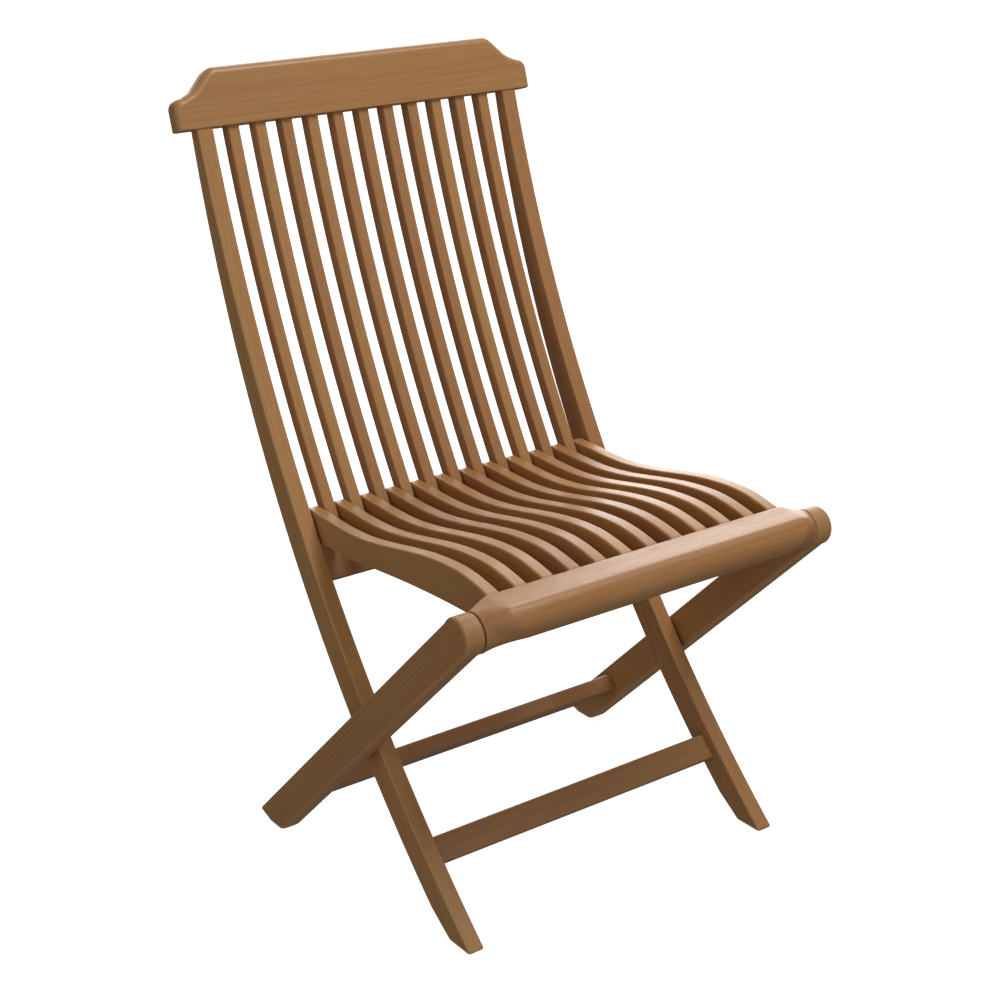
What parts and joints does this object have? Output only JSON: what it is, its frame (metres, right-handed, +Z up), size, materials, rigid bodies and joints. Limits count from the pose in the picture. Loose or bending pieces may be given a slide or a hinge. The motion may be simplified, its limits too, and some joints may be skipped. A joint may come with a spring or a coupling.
{
  "type": "folding chair",
  "caption": "Slatted teak folding chair with a curved high back, a waved seat, a rounded front rail and crossing legs joined by stretchers; it folds flat about two pivots.",
  "frame": {"origin": "on the floor, at the middle of the open chair's outline seen from above", "axes": "+Z up, +X to the right and +Y to the chair's rear seen by a viewer standing in front of the chair looking at it, so a sitter faces -Y"},
  "size_m": [0.518, 0.626, 0.922],
  "materials": {
    "teak": "satin",
    "teak_dark": "satin",
    "steel": "satin"
  },
  "bodies": {
    "back_frame": {"top_rail": "teak", "left_stile": "teak", "right_stile": "teak", "lower_back_rail": "teak_dark", "front_stretcher": "teak_dark", "back_slat_01": "teak", "back_slat_02": "teak", "back_slat_03": "teak", "back_slat_04": "teak", "back_slat_05": "teak", "back_slat_06": "teak", "back_slat_07": "teak", "back_slat_08": "teak", "back_slat_09": "teak", "back_slat_10": "teak", "back_slat_11": "teak", "pin_plugs": "teak"},
    "rear_legs": {"left_rear_leg": "teak", "right_rear_leg": "teak", "rear_stretcher": "teak_dark", "crossing_pins": "steel", "crossing_washers": "steel"},
    "seat": {"front_rail": "teak", "seat_tie_rod": "teak_dark", "seat_slat_01": "teak", "seat_slat_02": "teak", "seat_slat_03": "teak", "seat_slat_04": "teak", "seat_slat_05": "teak", "seat_slat_06": "teak", "seat_slat_07": "teak", "seat_slat_08": "teak", "seat_slat_09": "teak", "seat_slat_10": "teak", "seat_slat_11": "teak", "seat_slat_12": "teak", "rail_pivot_pins": "steel"}
  },
  "joints": [
    {"name": "legs_hinge", "type": "hinge", "parent": "back_frame", "child": "rear_legs", "pos_m": [0, -0.0455, 0.191], "axis": [-1, 0, 0], "range_deg": [0, 72]},
    {"name": "seat_hinge", "type": "hinge", "parent": "rear_legs", "child": "seat", "pos_m": [0, -0.275, 0.408], "axis": [1, 0, 0], "range_deg": [0, 136]}
  ],
  "couplings": [
    {"joint": "seat_hinge", "follows": "legs_hinge", "ratio": 1.8825}
  ]
}
